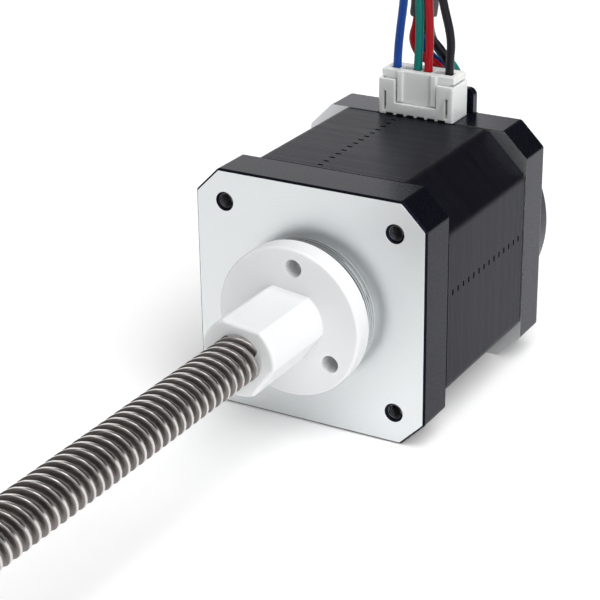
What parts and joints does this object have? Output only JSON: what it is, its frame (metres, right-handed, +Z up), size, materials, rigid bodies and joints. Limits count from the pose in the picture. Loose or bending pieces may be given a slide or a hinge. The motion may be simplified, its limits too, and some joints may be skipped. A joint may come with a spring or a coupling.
{
  "type": "external linear stepper motor",
  "caption": "Square hybrid stepper motor whose rotor turns a long multi-start lead screw through a white flanged nut, with a plug-in wire lead on top.",
  "frame": {"origin": "centre of the machined front mounting face, on the screw's axis", "axes": "+Z up through the connector, the screw points along -Y, the motor body lies along +Y, +X to the right seen from the screw's end"},
  "size_m": [0.057, 0.1967, 0.0876],
  "materials": {
    "cast_cap": "die-cast, satin black, machined front face",
    "lamination": "black stamped laminations",
    "insulator": "moulded nylon",
    "winding": "enamelled copper wire",
    "rotor_steel": "stamped silicon steel",
    "magnet": "sintered magnet",
    "screw_steel": "rolled steel, oiled",
    "white_acetal": "moulded white acetal",
    "bearing_steel": "ground bearing steel",
    "bearing_cage": "pressed cage",
    "spring_steel": "spring steel",
    "black_steel": "black oxide steel",
    "board": "glass-fibre board, black",
    "ivory_nylon": "moulded ivory nylon",
    "tinned": "tin plated",
    "blue_pvc": "wire insulation",
    "green_pvc": "wire insulation",
    "red_pvc": "wire insulation",
    "black_pvc": "wire insulation",
    "heat_shrink": "shrunk tubing",
    "tie_nylon": "nylon band",
    "far_housing": "moulded black nylon"
  },
  "bodies": {
    "motor": {"front_end_cap": "cast_cap", "rear_end_cap": "cast_cap", "stator_core": "lamination", "front_insulator": "insulator", "rear_insulator": "insulator", "phase_a_coils": "winding", "phase_b_coils": "winding", "preload_washer": "spring_steel", "tie_screws": "black_steel", "terminal_board": "board", "connector_header": "ivory_nylon", "connector_pins": "tinned", "plug_housing": "ivory_nylon", "crimp_terminals": "tinned", "blue_wire": "blue_pvc", "green_wire": "green_pvc", "red_wire": "red_pvc", "black_wire": "black_pvc", "heat_shrink_sleeve": "heat_shrink", "wire_coil": "black_pvc", "coil_tie": "tie_nylon", "far_end_housing": "far_housing", "front_bearing_outer_ring": "bearing_steel", "front_bearing_balls": "bearing_steel", "front_bearing_cage": "bearing_cage", "front_bearing_shields": "spring_steel", "rear_bearing_outer_ring": "bearing_steel", "rear_bearing_balls": "bearing_steel", "rear_bearing_cage": "bearing_cage", "rear_bearing_shields": "spring_steel"},
    "rotor": {"lead_screw": "screw_steel", "rotor_front_cup": "rotor_steel", "rotor_rear_cup": "rotor_steel", "rotor_magnet": "magnet", "front_bearing_inner_ring": "bearing_steel", "rear_bearing_inner_ring": "bearing_steel"},
    "nut": {"lead_nut": "white_acetal"}
  },
  "joints": [
    {"name": "screw_spin", "type": "hinge", "parent": "motor", "child": "rotor", "pos_m": [0, 0, 0], "axis": [0, 1, 0], "range_deg": [0, 3240]},
    {"name": "nut_slide", "type": "slide", "parent": "motor", "child": "nut", "axis": [0, -1, 0], "range_m": [0, 0.0721]}
  ],
  "couplings": [
    {"joint": "nut_slide", "follows": "screw_spin", "m_per_rad": 0.0012732}
  ]
}
